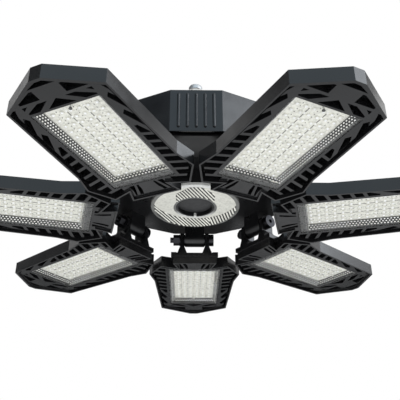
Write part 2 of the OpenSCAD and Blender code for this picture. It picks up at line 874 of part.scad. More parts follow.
driver_housing();
hub_plate();
top_cover();
cover_screws();
neck();
screw_shell();
insulator();
contact();
ring_body();
ring_lens();
ring_led_board();
ring_cap();
ring_screws();
driver_board();
driver_screws();
transformer();
capacitors();
for (i = [1:panel_count]) {
    at_panel(i) panel_frame();
    at_panel(i) panel_lens();
    at_panel(i) led_board();
    at_panel(i) hinge_bolt();
    at_panel(i) hinge_nut();
    at_panel(i) hinge_washers();
}
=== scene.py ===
"""Deformable garage light: finishes, lenses, screw thread, studio and camera around the frame.

Everything is in metres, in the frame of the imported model: the lamp axis is Z, the first panel
points along +Y, and the other panels are copies of it, turned about Z.
"""

import json
import math

import bmesh
import bpy
from bpy.props import FloatProperty, FloatVectorProperty, IntProperty, PointerProperty
from mathutils import Matrix, Vector

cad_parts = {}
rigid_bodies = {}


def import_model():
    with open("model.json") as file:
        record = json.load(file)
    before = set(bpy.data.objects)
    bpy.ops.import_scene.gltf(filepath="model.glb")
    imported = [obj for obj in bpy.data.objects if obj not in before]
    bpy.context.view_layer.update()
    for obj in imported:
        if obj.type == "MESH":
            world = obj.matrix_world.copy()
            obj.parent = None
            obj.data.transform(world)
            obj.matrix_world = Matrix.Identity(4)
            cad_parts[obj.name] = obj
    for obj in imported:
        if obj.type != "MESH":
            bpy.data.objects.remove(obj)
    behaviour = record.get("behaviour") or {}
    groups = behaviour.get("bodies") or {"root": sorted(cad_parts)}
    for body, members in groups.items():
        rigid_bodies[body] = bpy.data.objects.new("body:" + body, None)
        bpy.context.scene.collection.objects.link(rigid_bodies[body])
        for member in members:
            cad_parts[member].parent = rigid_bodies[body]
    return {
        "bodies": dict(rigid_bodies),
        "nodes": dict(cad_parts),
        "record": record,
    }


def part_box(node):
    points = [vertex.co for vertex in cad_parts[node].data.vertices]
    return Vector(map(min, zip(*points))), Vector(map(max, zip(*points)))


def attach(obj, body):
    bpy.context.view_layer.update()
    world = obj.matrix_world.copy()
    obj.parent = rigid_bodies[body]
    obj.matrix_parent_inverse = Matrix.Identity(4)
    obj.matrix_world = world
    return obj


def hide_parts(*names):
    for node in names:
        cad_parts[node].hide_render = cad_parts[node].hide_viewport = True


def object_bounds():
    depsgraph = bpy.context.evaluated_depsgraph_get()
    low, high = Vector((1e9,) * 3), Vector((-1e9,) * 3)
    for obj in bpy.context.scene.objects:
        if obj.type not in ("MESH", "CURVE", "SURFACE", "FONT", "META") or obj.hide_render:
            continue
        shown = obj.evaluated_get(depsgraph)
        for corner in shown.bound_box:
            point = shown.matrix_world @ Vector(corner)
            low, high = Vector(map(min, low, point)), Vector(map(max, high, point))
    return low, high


bl_info = {
    "name": "Deformable garage light",
    "version": (1, 0, 0),
    "blender": (4, 5, 0),
    "location": "3D View > Sidebar > Garage light",
    "description": "Finishes, prismatic lenses, screw thread and studio of a folding garage light",
    "category": "Add Mesh",
}

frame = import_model()
cad_low, cad_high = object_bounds()

MM = 0.001
PANEL_COUNT = sum(name.startswith("panel_") for name in frame["bodies"])
PANEL_STEP = 2 * math.pi / PANEL_COUNT
HUB = "hub"
SLOTS = {row["node"]: row["material_slot"] for row in frame["record"]["subparts"]}

LENS_LOW, LENS_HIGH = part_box("panel_lens_1")
BOARD_LOW, BOARD_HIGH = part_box("led_board_1")
RING_LOW, RING_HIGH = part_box("ring_lens")
CAP_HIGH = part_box("ring_cap")[1]
SHELL_LOW, SHELL_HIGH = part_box("screw_shell")
CONTACT_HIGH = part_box("contact")[1]

# The screw base above its thread: the shoulder's radius, and where glass gives way to contact
SHOULDER_RADIUS = 8.6 * MM
GLASS_TOP = SHELL_HIGH.z + 3.0 * MM

# Where the ring lens has ribs: a strip at the near side, which narrows at its end, and all that
# lies beyond a circle at the far side
NEAR_FIELD_HALF = 18.4 * MM
NEAR_FIELD_NARROWS = 45.5 * MM
NEAR_FIELD_START = -5.0 * MM
FAR_FIELD_CENTRE = -20.1 * MM
FAR_FIELD_RADIUS = 42.1 * MM
FAR_FIELD_START = -12.0 * MM

# Which way the ribs run, in degrees from X. They are steeper at the right of the far field
RIB_DIRECTION = 62.0
STEEP_RIB_DIRECTION = 76.0
STEEP_RIBS_FROM = 15.0 * MM

# Colours that more than one finish uses
WHITE = (1.0, 1.0, 1.0)
BLACK = (0.006, 0.006, 0.006)
NICKEL = (0.7, 0.69, 0.66)

# Lights and flags face the middle of the garage light. A light has a name, a size, a distance, an
# azimuth from X and a rise above level. A flag has a name, a half size, a tone and the two angles
SOFTBOX_TINT = (0.93, 1.0, 1.08)
LIGHTS = (
    ("softbox", (1.7, 1.0), 2.0, -16.0, 28.0),
    ("front_panel", (2.8, 1.6), 2.0, -92.0, 38.0),
    ("under_panel", (0.9, 0.9), 0.85, -90.0, -60.0),
)
FLAG_DISTANCE = 2.0
FLAGS = (
    ("left_flag", (1.0, 1.25), 0.13, -169.0, 34.0),
    ("tip_flag", (0.4, 0.75), 0.1, 131.0, 40.0),
    ("right_flag", (0.34, 0.36), 0.12, 30.0, 46.0),
    ("far_flag", (1.6, 0.42), 0.18, 90.0, -15.5),
)
FLOOR_HALF = 3.0


# Property groups: the sizes and colours that a user would change


def length(name, description, millimetres):
    """A length, given in millimetres."""
    return FloatProperty(
        name=name, description=description, unit="LENGTH", default=millimetres * MM)


def sides(name, description, *millimetres):
    """The three sides of a small shape, given in millimetres."""
    return FloatVectorProperty(
        name=name, description=description, unit="LENGTH",
        default=tuple(side * MM for side in millimetres))


def angle(name, description, degrees):
    """An angle, given in degrees."""
    return FloatProperty(
        name=name, description=description, subtype="ANGLE", default=math.radians(degrees))


def amount(name, description, value):
    """A plain number."""
    return FloatProperty(name=name, description=description, default=value)


def tint(name, description, *channels):
    """A colour."""
    return FloatVectorProperty(
        name=name, description=description, subtype="COLOR", default=channels)


class GarageLightStudio(bpy.types.PropertyGroup):
    """Camera, light and floor."""

    camera_place: FloatVectorProperty(
        name="Camera place", description="Where the camera stands", subtype="TRANSLATION",
        unit="LENGTH", default=(-0.00383, -0.52542, -0.4087))
    camera_rise: angle("Camera rise", "How far the camera looks up", 28.51)
    camera_yaw: angle("Camera yaw", "How far the camera is turned to the right", 0.72)
    camera_lens: amount("Focal length", "Focal length on a 36 mm sensor, in millimetres", 54.98)
    camera_shift: FloatVectorProperty(
        name="Camera shift", description="Shift that frames the photograph", size=2,
        default=(0.0049, 0.0168))
    softbox_glow: amount("Softbox glow", "Brightness of the softbox at the right", 3.4)
    front_glow: amount(
        "Front glow", "Brightness of the cool panel above and behind the camera", 0.35)
    front_tint: tint("Front tint", "Colour of that panel", 0.02, 0.6, 1.0)
    under_glow: amount("Under glow", "Brightness of the panel under the lamp", 0.9)
    sky_strength: amount("Sky strength", "Strength of the even light from all sides", 0.92)
    floor_drop: length(
        "Floor drop", "Distance from the lowest point of the lamp to the floor", 900.0)


class GarageLightColours(bpy.types.PropertyGroup):
    """Colours of the finishes."""

    panel: tint("Panels", "Satin enamel of the folding panels", 0.007, 0.007, 0.0075)
    housing: tint("Housing", "Satin enamel of the housing and the cover", 0.006, 0.007, 0.009)
    casting: tint(
        "Hub", "Satin enamel of the hub plate and the ring lamp's body", 0.005, 0.005, 0.0055)
    optic: tint("Optic", "White boards behind the lenses", 0.7, 0.69, 0.62)
    flange: tint("Flange", "Grey edge of the lenses", 0.028, 0.028, 0.027)


class GarageLightLens(bpy.types.PropertyGroup):
    """Sizes of the panel lenses."""

    cover_thickness: length("Cover thickness", "Thickness of the clear front", 1.0)
    flange_width: length("Flange width", "Width of the grey edge at the sides of the optic", 1.9)
    flange_end: length("Flange end", "Width of the grey edge at the hub end of the optic", 6.0)
    flange_tip: length("Flange tip", "Width of the grey edge at the tip of the optic", 0.8)
    wall_draft: length("Wall draft", "How far the side walls lean inwards to the board", 3.5)
    end_draft: length("End draft", "How far the end walls lean inwards to the board", 2.1)
    led_pitch: length("LED pitch", "Distance between LEDs", 7.4)
    led_size: length("LED size", "Width of one LED", 2.8)
    dome_radius: length("Dome radius", "Radius of the dome over each LED", 1.15)
    spot_radius: length("Spot radius", "Radius of the small domes between the slits", 0.75)
    slit_size: sides("Slit size", "Size of the long dark slits between the LEDs", 0.5, 4.7, 0.4)
    dot_size: sides("Dot size", "Size of the short dark slits between the LEDs", 0.5, 0.9, 0.4)
    prism_pitch: length("Prism pitch", "Distance between prisms on the lens walls", 3.05)
    prism_size: sides("Prism size", "Size of one prism on a lens wall", 1.65, 1.05, 0.4)
    prism_row_pitch: length("Prism row pitch", "Distance between rows of prisms", 1.5)
    prism_rows: IntProperty(
        name="Prism rows", description="Rows of prisms on a lens wall", default=3)


class GarageLightRing(bpy.types.PropertyGroup):
    """Sizes of the ring lens."""

    edge_width: length("Edge width", "Width of the sloping grey edge", 3.2)
    land_width: length("Land width", "Width of the flat grey land around the hole", 2.6)
    rib_pitch: length("Rib pitch", "Distance between prism ribs", 3.1)
    rib_width: length("Rib width", "Width of one rib", 1.65)
    rib_height: length("Rib height", "Height of one rib", 0.35)


class GarageLightBase(bpy.types.PropertyGroup):
    """Sizes of the screw base."""

    thread_pitch: length("Thread pitch", "Rise of the thread in one turn", 3.63)
    thread_depth: length("Thread depth", "Depth of the rolled thread", 0.75)


GROUPS = (
    ("garage_studio", GarageLightStudio),
    ("garage_colours", GarageLightColours),
    ("garage_lens", GarageLightLens),
    ("garage_ring", GarageLightRing),
    ("garage_base", GarageLightBase),
)


# Materials


class Graph:
    """A node tree under construction, with short ways to wire its nodes."""

    def __init__(self, tree):
        self.nodes, self.links = tree.nodes, tree.links

    def feed(self, target, value):
        """Links a value that is a socket to the target, or sets the target to a plain value."""
        if isinstance(value, bpy.types.NodeSocket):
            self.links.new(value, target)
        else:
            target.default_value = value

    def add(self, kind, inputs=None, **settings):
        """Adds a node with its settings, and feeds its inputs."""
        node = self.nodes.new(kind)
        for key, value in settings.items():
            setattr(node, key, value)
        for key, value in (inputs or {}).items():
            self.feed(node.inputs[key], value)
        return node

    def math(self, operation, first, second):
        """One arithmetic step on values or sockets."""
        return self.add("ShaderNodeMath", {0: first, 1: second}, operation=operation).outputs[0]


class Shader(Graph):
    """A material under construction, with its Principled shader and its patterns."""

    def __init__(self, name):
        self.material = bpy.data.materials.new(name)
        self.material.use_nodes = True
        super().__init__(self.material.node_tree)
        self.surface = self.nodes["Principled BSDF"]
        self.place = self.nodes.new("ShaderNodeTexCoord").outputs["Object"]

    def noise(self, scale, detail=2.0):
        """A noise pattern on the object's own coordinates, from 0 to 1."""
        return self.add("ShaderNodeTexNoise", {
            "Vector": self.place, "Scale": scale, "Detail": detail}).outputs["Fac"]

    def spread(self, value, low, high, from_low=0.3, from_high=0.7):
        """Maps a pattern to a range of values."""
        return self.add("ShaderNodeMapRange", {
            "Value": value, "From Min": from_low, "From Max": from_high, "To Min": low,
            "To Max": high}).outputs["Result"]

    def blend(self, factor, first, second):
        """Mixes two colours by a pattern."""
        mix = self.add("ShaderNodeMix", {"Factor": factor}, data_type="RGBA")
        for label, value in (("A", first), ("B", second)):
            target = next(s for s in mix.inputs if s.name == label and s.type == "RGBA")
            self.feed(target, value if isinstance(value, bpy.types.NodeSocket) else (*value, 1.0))
        return next(s for s in mix.outputs if s.type == "RGBA")

    def mottle(self, pattern, colour, darkest, lightest):
        """A colour that a pattern makes darker and lighter."""
        return self.blend(
            self.spread(pattern, 0.0, 1.0), shade(colour, darkest), shade(colour, lightest))

    def bump(self, height, strength, distance, normal=None):
        """A bump of a height pattern."""
        inputs = {"Height": height, "Strength": strength, "Distance": distance}
        if normal:
            inputs["Normal"] = normal
        return self.add("ShaderNodeBump", inputs).outputs["Normal"]

    def axes(self):
        """The object's own X, Y and Z coordinates."""
        split = self.add("ShaderNodeSeparateXYZ", {"Vector": self.place})
        return split.outputs["X"], split.outputs["Y"], split.outputs["Z"]

    def set(self, **inputs):
        """Feeds inputs of the Principled shader, by their names with underscores for spaces."""
        for key, value in inputs.items():
            self.feed(self.surface.inputs[key.replace("_", " ")], value)


def shade(colour, factor):
    """A colour made lighter or darker."""
    return tuple(min(1.0, channel * factor) for channel in colour)


def satin_enamel(name, colour, roughness):
    """Satin black enamel: orange-peel grain, slow changes of shade and gloss, rounded edges."""
    paint = Shader(name)
    edge = paint.add("ShaderNodeBevel", {"Radius": 0.35 * MM}, samples=4).outputs["Normal"]
    paint.set(
        Base_Color=paint.mottle(paint.noise(28.0, 3.0), colour, 0.8, 1.25),
        Roughness=paint.spread(paint.noise(75.0, 4.0), roughness - 0.04, roughness + 0.05),
        Specular_IOR_Level=0.42,
        Normal=paint.bump(paint.noise(1100.0), 0.06, 0.06 * MM, edge))
    return paint.material


def moulded_plastic(name, colour, roughness, gloss=0.5):
    """Moulded plastic with a fine spark-eroded texture."""
    plastic = Shader(name)
    plastic.set(
        Base_Color=plastic.mottle(plastic.noise(60.0), colour, 0.85, 1.2),
        Roughness=plastic.spread(plastic.noise(300.0), roughness - 0.05, roughness + 0.08),
        Specular_IOR_Level=gloss,
        Normal=plastic.bump(plastic.noise(2200.0), 0.15, 0.08 * MM))
    return plastic.material


def plated_metal(name, colour, roughness):
    """Plated or oxidised metal with faint marks."""
    metal = Shader(name)
    marks = metal.noise(400.0, 3.0)
    metal.set(
        Base_Color=metal.mottle(marks, colour, 0.8, 1.1),
        Metallic=1.0,
        Roughness=metal.spread(marks, roughness - 0.08, roughness + 0.1),
        Normal=metal.bump(marks, 0.08, 0.05 * MM))
    return metal.material


def matt_grey(name, tone, darkest, lightest, scale, roughness):
    """A matt grey for the floor and the flags."""
    grey = Shader(name)
    grey.set(
        Base_Color=grey.mottle(grey.noise(scale), (tone, tone, tone), darkest, lightest),
        Roughness=roughness)
    return grey.material


def optic_white(name, colour):
    """White board behind a lens: a fine prismatic grain with small grey specks."""
    white = Shader(name)
    cells = white.add(
        "ShaderNodeTexVoronoi", {"Vector": white.place, "Scale": 620.0},
        feature="F1").outputs["Distance"]
    specks = white.spread(cells, 0.0, 1.0, 0.04, 0.24)
    cloud = white.spread(white.noise(420.0, 1.0), 0.0, 1.0, 0.3, 0.65)
    tone = white.blend(cloud, shade(colour, 0.88), shade(colour, 1.12))
    white.set(
        Base_Color=white.blend(specks, shade(colour, 0.6), tone),
        Roughness=white.spread(cloud, 0.25, 0.45),
        Normal=white.bump(cells, 0.4, 0.3 * MM))
    return white.material


def clear_cover(name):
    """Thin clear polycarbonate with a faint ripple."""
    clear = Shader(name)
    ripple = clear.noise(900.0, 1.0)
    clear.set(
        Base_Color=clear.blend(ripple, (0.8, 0.8, 0.78), (0.9, 0.9, 0.88)),
        Roughness=clear.spread(ripple, 0.08, 0.16), IOR=1.49,
        Alpha=clear.spread(ripple, 0.02, 0.05), Normal=clear.bump(ripple, 0.15, 0.05 * MM))
    return clear.material


def frosted_edge(name, colour):
    """Grey translucent edge of a lens, streaked where light runs along it."""
    edge = Shader(name)
    streaks = edge.noise(260.0, 3.0)
    edge.set(
        Base_Color=edge.mottle(streaks, colour, 0.55, 1.7),
        Roughness=edge.spread(streaks, 0.2, 0.4),
        Specular_IOR_Level=0.3,
        Normal=edge.bump(edge.noise(900.0), 0.2, 0.1 * MM))
    return edge.material


def frosted_with_painted_light(name, tones, first_step, last_step=None):
    """Frosted plastic with painted light and shade: its tone changes along Y, in steps of a start
    and an end.
    """
    edge = Shader(name)
    along = edge.axes()[1]
    step = edge.spread(along, 0.0, 1.0, *first_step)
    tone = edge.blend(step, tones[0], tones[1])
    # Darker copies of the tones, which a streak pattern mixes in: painted streaks of light and
    # shade in the translucent plastic
    darker_streak_tone = edge.blend(step, shade(tones[0], 0.75), shade(tones[1], 0.7))
    if last_step:
        step = edge.spread(along, 0.0, 1.0, *last_step)
        tone = edge.blend(step, tone, tones[2])
        darker_streak_tone = edge.blend(step, darker_streak_tone, shade(tones[2], 0.6))
    edge.set(
        Base_Color=edge.blend(edge.spread(edge.noise(260.0, 3.0), 0.0, 1.0), tone, darker_streak_tone),
        Roughness=edge.spread(edge.noise(180.0), 0.25, 0.4),
        Normal=edge.bump(edge.noise(900.0), 0.2, 0.1 * MM))
    return edge.material


def ring_optic(name, colour):
    """Face of the ring lens: plain white, and black under the two fields of prism ribs."""
    face = Shader(name)
    x, y, _ = face.axes()
    near_edge = face.math("MINIMUM", face.math("ADD", y, NEAR_FIELD_NARROWS), NEAR_FIELD_HALF)
    near_field = face.math(
        "MULTIPLY", face.math("LESS_THAN", face.math("ABSOLUTE", x, 0.0), near_edge),
        face.math("LESS_THAN", y, NEAR_FIELD_START))
    beyond = face.math("SUBTRACT", y, FAR_FIELD_CENTRE)
    reach = face.math(
        "ADD", face.math("MULTIPLY", x, x), face.math("MULTIPLY", beyond, beyond))
    far_field = face.math(
        "MULTIPLY", face.math("GREATER_THAN", reach, FAR_FIELD_RADIUS ** 2),
        face.math("GREATER_THAN", y, FAR_FIELD_START))
    plain = face.mottle(face.noise(160.0), colour, 0.9, 1.05)
    face.set(
        Base_Color=face.blend(face.math("MAXIMUM", near_field, far_field), plain, BLACK),
        Roughness=face.spread(face.noise(400.0), 0.2, 0.4),
        Normal=face.bump(face.noise(900.0), 0.15, 0.1 * MM))
    return face.material


def circuit_green(name):
    """Green solder mask with copper tracks under it."""
    mask = Shader(name)
    tracks = mask.add("ShaderNodeTexBrick", {
        "Vector": mask.place, "Scale": 120.0, "Mortar Size": 0.05}).outputs["Fac"]
    mask.set(
        Base_Color=mask.blend(tracks, (0.012, 0.1, 0.03), (0.03, 0.2, 0.06)),
        Roughness=mask.spread(mask.noise(90.0), 0.25, 0.4))
    return mask.material


# Making meshes and pieces


def panel_turn(number):
    """The turn from the first panel to the panel of that number."""
    return Matrix.Rotation((number - 1) * PANEL_STEP, 4, "Z")


def show(name, mesh, body, materials, replaces=()):
    """Makes a mesh a piece of the lamp: named, finished and riding on its body.

    A mesh that Geometry Nodes made brings its own material.
    """
    piece = bpy.data.objects.new(name, mesh)
    bpy.context.scene.collection.objects.link(piece)
    if not mesh.materials:
        for material in materials:
            mesh.materials.append(material)
    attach(piece, body)
    if replaces:
        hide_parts(*replaces)


def show_on_panels(name, mesh, materials, replaces=None):
    """Shows a mesh of the first panel on every panel."""
    for number in range(1, PANEL_COUNT + 1):
        copy = mesh.copy()
        copy.transform(panel_turn(number))
        gone = [f"{replaces}_{number}"] if replaces else []
        show(f"{name}_{number}", copy, f"panel_{number}", materials, gone)
    bpy.data.meshes.remove(mesh)


def mesh_from(name, build):
    """A mesh that a function fills through bmesh, with its normals turned outwards."""
    shape = bmesh.new()
    build(shape)
    bmesh.ops.remove_doubles(shape, verts=shape.verts, dist=0.001 * MM)
    bmesh.ops.recalc_face_normals(shape, faces=shape.faces)
    mesh = bpy.data.meshes.new(name)
    shape.to_mesh(mesh)
    shape.free()
    return mesh


def add_point(shape, radius, turn, z):
    """Adds a point at a radius and a turn about the lamp axis."""
    return shape.verts.new((radius * math.cos(turn), radius * math.sin(turn), z))


def add_band(shape, here, there):
    """Adds the faces between two closed loops of points, and returns them."""
    count = len(here)
    return [
        shape.faces.new((here[k], here[(k + 1) % count], there[(k + 1) % count], there[k]))
        for k in range(count)]


def add_block(shape, low, high, bevel, material=0):
    """Adds a block between two corners, with rounded edges and one of the mesh's materials."""
    first = len(shape.faces)
    made = bmesh.ops.create_cube(shape, size=1.0)["verts"]
    for vert in made:
        vert.co = Vector([(a + b) / 2 + c * (b - a) for a, b, c in zip(low, high, vert.co)])
    edges = {edge for vert in made for edge in vert.link_edges}
    bmesh.ops.bevel(
        shape, geom=list(edges), offset=bevel, segments=2, profile=0.5, affect="EDGES")
    shape.faces.ensure_lookup_table()
    for face in shape.faces[first:]:
        face.material_index = material


def add_revolved(shape, outline, steps, materials=None):
    """Adds a closed outline of (radius, height) points, revolved about the lamp axis.

    If materials is given, it holds the material of the side after each point.
    """
    turns = [2 * math.pi * step / steps for step in range(steps)]
    rings = [[add_point(shape, r, turn, z) for r, z in outline] for turn in turns]
    for here, there in zip(rings, rings[1:] + rings[:1]):
        for k, face in enumerate(add_band(shape, here, there)):
            if materials:
                face.material_index = materials[k]


def smooth_by_angle(mesh, degrees):
    """Smooth faces, with sharp edges where the surface turns by more than an angle."""
    mesh.shade_smooth()
    mesh.set_sharp_from_angle(angle=math.radians(degrees))


# Geometry Nodes

COUNTS = ("Columns", "Rows")
PITCHES = ("Pitch across", "Pitch along")
WALL_SETTINGS = ("Pitch", "Row pitch", "Row lean", "Tilt")


class Tree(Graph):
    """A Geometry Nodes tree under construction, with named inputs."""

    def __init__(self, name, counts, numbers, vectors):
        self.group = bpy.data.node_groups.new(name, "GeometryNodeTree")
        super().__init__(self.group)
        for labels, kind in ((counts, "Int"), (numbers, "Float"), (vectors, "Vector")):
            for label in labels:
                self.group.interface.new_socket(
                    name=label, in_out="INPUT", socket_type=f"NodeSocket{kind}")
        self.group.interface.new_socket(
            name="Geometry", in_out="OUTPUT", socket_type="NodeSocketGeometry")
        self.start = self.nodes.new("NodeGroupInput")
        self.end = self.nodes.new("NodeGroupOutput")

    def get(self, label):
        """The socket of one of the tree's inputs."""
        return self.start.outputs[label]

    def vector(self, **axes):
        """A vector from its X, Y and Z, which are 0 unless given."""
        return self.add("ShaderNodeCombineXYZ", axes).outputs["Vector"]

    def grid(self, counts=COUNTS, pitches=PITCHES):
        """A grid of points, from the names of the inputs that hold its counts and pitches."""
        inputs = {}
        for axis, count, pitch in zip("XY", counts, pitches):
            gaps = self.math("SUBTRACT", self.get(count), 1.0)
            inputs[f"Size {axis}"] = self.math("MULTIPLY", self.get(pitch), gaps)
            inputs[f"Vertices {axis}"] = self.get(count)
        return self.add("GeometryNodeMeshGrid", inputs).outputs["Mesh"]

    def copies(self, points, shape, **inputs):
        """Copies of a shape at points."""
        return self.add("GeometryNodeInstanceOnPoints", {
            "Points": points, "Instance": shape, **inputs}).outputs["Instances"]

    def moved(self, geometry, **inputs):
        """A geometry after a move or a turn."""
        return self.add("GeometryNodeTransform", {
            "Geometry": geometry, **inputs}).outputs["Geometry"]

    def finish(self, geometry, material=None):
        """Ends the tree in Realize Instances and, with a material, Set Material."""
        real = self.add("GeometryNodeRealizeInstances", {"Geometry": geometry})
        if material:
            real = self.add("GeometryNodeSetMaterial", {
                "Geometry": real.outputs["Geometry"], "Material": material})
        self.links.new(real.outputs["Geometry"], self.end.inputs["Geometry"])
        return self.group


def grow(tree, name, values):
    """Runs a tree with its inputs set by name, and returns the result as a plain mesh."""
    holder = bpy.data.objects.new(name, bpy.data.meshes.new(name))
    bpy.context.scene.collection.objects.link(holder)
    modifier = holder.modifiers.new("Build", "NODES")
    modifier.node_group = tree
    for item in tree.interface.items_tree:
        if item.in_out == "INPUT" and item.name in values:
            modifier[item.identifier] = values[item.name]
    ready = holder.evaluated_get(bpy.context.evaluated_depsgraph_get())
    mesh = bpy.data.meshes.new_from_object(ready)
    mesh.name = name
    bpy.data.objects.remove(holder)
    return mesh


def domes_tree(material):
    """A grid of low domes."""
    tree = Tree("led_domes", COUNTS, (*PITCHES, "Radius", "Flatness"), ("Place",))
    dome = tree.add("GeometryNodeMeshUVSphere", {
        "Segments": 12, "Rings": 8, "Radius": tree.get("Radius")}).outputs["Mesh"]
    flat = tree.vector(X=1.0, Y=1.0, Z=tree.get("Flatness"))
    placed = tree.moved(
        tree.copies(tree.grid(), dome, Scale=flat), Translation=tree.get("Place"))
    smooth = tree.add("GeometryNodeSetShadeSmooth", {"Geometry": placed})
    return tree.finish(smooth.outputs["Geometry"], material)


def slits_tree(material):
    """A grid of small dark slits between the LEDs."""
    tree = Tree("optic_slits", COUNTS, PITCHES, ("Size", "Place"))
    slit = tree.add("GeometryNodeMeshCube", {"Size": tree.get("Size")}).outputs["Mesh"]
    placed = tree.moved(tree.copies(tree.grid(), slit), Translation=tree.get("Place"))
    return tree.finish(placed, material)


def prism_wall_tree():
    """One wall of oval prisms: staggered rows along X, which lean inwards as they rise along Z."""
    tree = Tree("prism_wall", ("Count", "Rows"), WALL_SETTINGS, ("Size",))
    index = tree.add("GeometryNodeInputIndex").outputs["Index"]
    row = tree.math("MODULO", index, tree.get("Rows"))
    stagger = tree.math("SUBTRACT", tree.math("MODULO", row, 2.0), 0.5)
    shift = tree.math("MULTIPLY", stagger, tree.math("MULTIPLY", 0.5, tree.get("Pitch")))
    middle = tree.math("MULTIPLY", 0.5, tree.math("SUBTRACT", tree.get("Rows"), 1.0))
    lean = tree.math("MULTIPLY", tree.math("SUBTRACT", row, middle), tree.get("Row lean"))
    points = tree.add("GeometryNodeSetPosition", {
        "Geometry": tree.grid(("Count", "Rows"), ("Pitch", "Row pitch")),
        "Offset": tree.vector(X=shift, Z=lean)}).outputs["Geometry"]
    oval = tree.add("GeometryNodeMeshCylinder", {"Vertices": 10, "Radius": 0.5, "Depth": 1.0})
    copies = tree.copies(
        points, oval.outputs["Mesh"], Scale=tree.get("Size"),
        Rotation=tree.vector(X=tree.get("Tilt")))
    return tree.finish(tree.moved(copies, Rotation=(math.pi / 2, 0.0, 0.0)))


def prism_box_tree(wall, material):
    """Four walls of prisms around the optic."""
    tree = Tree(
        "lens_prisms", ("Count across", "Count along", "Rows"),
        (*WALL_SETTINGS, "Half width", "Half length"), ("Size", "Place"))
    join = tree.add("GeometryNodeJoinGeometry")
    shared = {label: tree.get(label) for label in ("Rows", "Size", *WALL_SETTINGS)}
    for count, reach, turn in (
            ("Count across", "Half length", 0.0), ("Count along", "Half width", math.pi / 2),
            ("Count across", "Half length", math.pi), ("Count along", "Half width", -math.pi / 2)):
        side = tree.add(
            "GeometryNodeGroup", {"Count": tree.get(count), **shared}, node_tree=wall)
        pushed = tree.moved(
            side.outputs["Geometry"], Translation=tree.vector(Y=tree.get(reach)))
        turned = tree.moved(pushed, Rotation=(0.0, 0.0, turn))
        tree.links.new(turned, join.inputs["Geometry"])
    placed = tree.moved(join.outputs["Geometry"], Translation=tree.get("Place"))
    return tree.finish(placed, material)


# Operators: one for the stage, one for each group of pieces


class BuildStudio(bpy.types.Operator):
    """Makes the camera, the lights, the white surroundings, the dark flags and the floor"""

    bl_idname = "garage_light.studio"
    bl_label = "Build studio"

    def execute(self, context):
        studio = context.scene.garage_studio
        self.make_camera(context, studio)
        self.make_sky(context, studio)
        self.make_floor(context, studio)
        looks = {
            "softbox": (studio.softbox_glow, SOFTBOX_TINT),
            "front_panel": (studio.front_glow, studio.front_tint),
            "under_panel": (studio.under_glow, WHITE)}
        for name, size, *place in LIGHTS:
            self.make_light(name, *looks[name], size, place)
        for name, half_size, tone, *direction in FLAGS:
            self.make_flag(name, half_size, tone, (FLAG_DISTANCE, *direction))
        context.scene.view_settings.view_transform = "Standard"
        return {"FINISHED"}

    def make_camera(self, context, studio):
        """The camera of the photograph."""
        camera = bpy.data.objects.new("camera", bpy.data.cameras.new("camera"))
        context.scene.collection.objects.link(camera)
        camera.location = studio.camera_place
        camera.rotation_euler = (math.pi / 2 + studio.camera_rise, 0.0, -studio.camera_yaw)
        camera.data.lens = studio.camera_lens
        camera.data.shift_x, camera.data.shift_y = studio.camera_shift
        context.scene.camera = camera

    def make_sky(self, context, studio):
        """Even light, with a plain white background where the camera, gloss and glass see it."""
        world = bpy.data.worlds.new("surroundings")
        world.use_nodes = True
        context.scene.world = world
        sky = Graph(world.node_tree)
        light = sky.nodes["Background"]
        light.inputs["Color"].default_value = (*WHITE, 1.0)
        light.inputs["Strength"].default_value = studio.sky_strength
        white = sky.add("ShaderNodeBackground", {"Color": (*WHITE, 1.0)})
        path = sky.add("ShaderNodeLightPath")
        seen = path.outputs["Is Camera Ray"]
        for ray in ("Is Glossy Ray", "Is Transmission Ray"):
            seen = sky.math("MAXIMUM", seen, path.outputs[ray])
        mix = sky.add("ShaderNodeMixShader", {
            "Fac": seen, 1: light.outputs["Background"], 2: white.outputs["Background"]})
        sky.links.new(mix.outputs["Shader"], sky.nodes["World Output"].inputs["Surface"])

    def make_sheet(self, name, half_size, height, material):
        """A flat sheet at a height."""
        x, y = half_size
        mesh = bpy.data.meshes.new(name)
        mesh.from_pydata(
            [(-x, -y, height), (x, -y, height), (x, y, height), (-x, y, height)], [],
            [(0, 1, 2, 3)])
        mesh.materials.append(material)
        return bpy.data.objects.new(name, mesh)

    def make_floor(self, context, studio):
        """A plain pale floor under the lamp."""
        floor = self.make_sheet(
            "floor", (FLOOR_HALF, FLOOR_HALF), cad_low.z - studio.floor_drop,
            matt_grey("pale_floor", 0.8, darkest=1.0, lightest=1.05, scale=3.0, roughness=0.8))
        context.scene.collection.objects.link(floor)

    def place_facing(self, thing, place):
        """Puts a thing at a distance and two angles in degrees, facing the light's middle."""
        distance, azimuth, rise = place
        turn, lift = math.radians(azimuth), math.radians(rise)
        away = Vector((
            math.cos(turn) * math.cos(lift), math.sin(turn) * math.cos(lift), math.sin(lift)))
        thing.location = (cad_low + cad_high) / 2 + away * distance
        thing.rotation_euler = away.to_track_quat("Z", "Y").to_euler()
        bpy.context.scene.collection.objects.link(thing)

    def make_light(self, name, glow, colour, size, place):
        """A rectangular light of a certain brightness."""
        light = bpy.data.lights.new(name, "AREA")
        light.shape = "RECTANGLE"
        light.size, light.size_y = size
        light.color = colour
        light.energy = glow * math.pi * size[0] * size[1]
        lamp = bpy.data.objects.new(name, light)
        lamp.visible_camera = False
        self.place_facing(lamp, place)

    def make_flag(self, name, half_size, tone, place):
        """A dark flag of cloth, which shows only in reflections."""
        cloth = matt_grey(
            f"{name}_cloth", tone, darkest=0.85, lightest=1.15, scale=40.0, roughness=0.9)
        flag = self.make_sheet(name, half_size, 0.0, cloth)
        self.place_facing(flag, place)
        flag.visible_camera = flag.visible_diffuse = flag.visible_shadow = False


